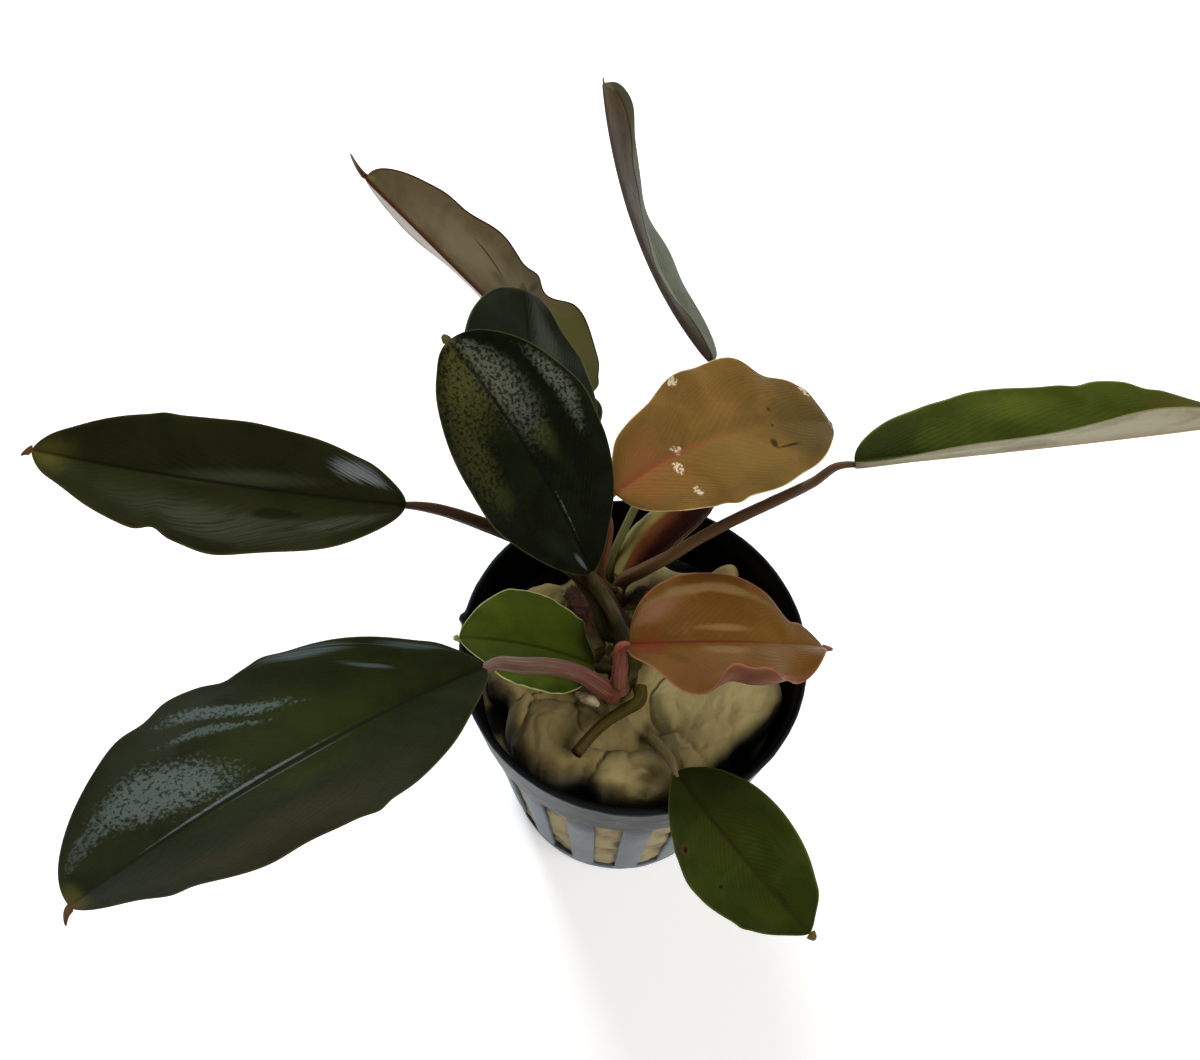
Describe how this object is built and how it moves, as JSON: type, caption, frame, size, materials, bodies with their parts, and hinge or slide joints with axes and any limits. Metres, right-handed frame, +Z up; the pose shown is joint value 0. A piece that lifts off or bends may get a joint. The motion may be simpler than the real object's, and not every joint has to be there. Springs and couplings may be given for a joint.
{
  "type": "potted aquarium plant",
  "caption": "Small aquarium plant with long stalked oval leaves on a creeping rhizome, rooted in mineral wool in a round ribbed net pot.",
  "frame": {"origin": "centre of the pot's underside, on the surface it stands on", "axes": "+Z up the pot's axis; +X to the right and +Y away from the viewer, as the picture shows the plant"},
  "size_m": [0.1591, 0.1306, 0.0892],
  "materials": {
    "pot": "satin",
    "wool": "matte",
    "rhizome": "satin",
    "leaf_left_upper": "gloss",
    "leaf_left_lower": "gloss",
    "leaf_centre": "gloss",
    "leaf_behind": "satin",
    "leaf_upper_left": "satin",
    "leaf_top": "satin",
    "leaf_right": "satin",
    "leaf_amber_upper": "satin",
    "leaf_amber_lower": "satin",
    "leaf_small_green": "satin",
    "leaf_bottom": "satin",
    "stalk_left_upper": "satin",
    "stalk_left_lower": "satin",
    "stalk_centre": "satin",
    "stalk_behind": "satin",
    "stalk_upper_left": "satin",
    "stalk_top": "satin",
    "stalk_right": "satin",
    "stalk_amber_upper": "satin",
    "stalk_amber_lower": "satin",
    "stalk_small_green": "satin",
    "stalk_bottom": "satin",
    "rolled_leaf": "satin",
    "brown_sheath": "matte",
    "cut_stub": "satin",
    "cream_scale": "matte",
    "bud": "satin"
  },
  "bodies": {
    "root": {"pot": "pot", "wool": "wool", "rhizome": "rhizome", "leaf_left_upper": "leaf_left_upper", "leaf_left_lower": "leaf_left_lower", "leaf_centre": "leaf_centre", "leaf_behind": "leaf_behind", "leaf_upper_left": "leaf_upper_left", "leaf_top": "leaf_top", "leaf_right": "leaf_right", "leaf_amber_upper": "leaf_amber_upper", "leaf_amber_lower": "leaf_amber_lower", "leaf_small_green": "leaf_small_green", "leaf_bottom": "leaf_bottom", "stalk_left_upper": "stalk_left_upper", "stalk_left_lower": "stalk_left_lower", "stalk_centre": "stalk_centre", "stalk_behind": "stalk_behind", "stalk_upper_left": "stalk_upper_left", "stalk_top": "stalk_top", "stalk_right": "stalk_right", "stalk_amber_upper": "stalk_amber_upper", "stalk_amber_lower": "stalk_amber_lower", "stalk_small_green": "stalk_small_green", "stalk_bottom": "stalk_bottom", "rolled_leaf": "rolled_leaf", "brown_sheath": "brown_sheath", "cut_stub": "cut_stub", "cream_scale": "cream_scale", "bud": "bud"}
  },
  "joints": []
}
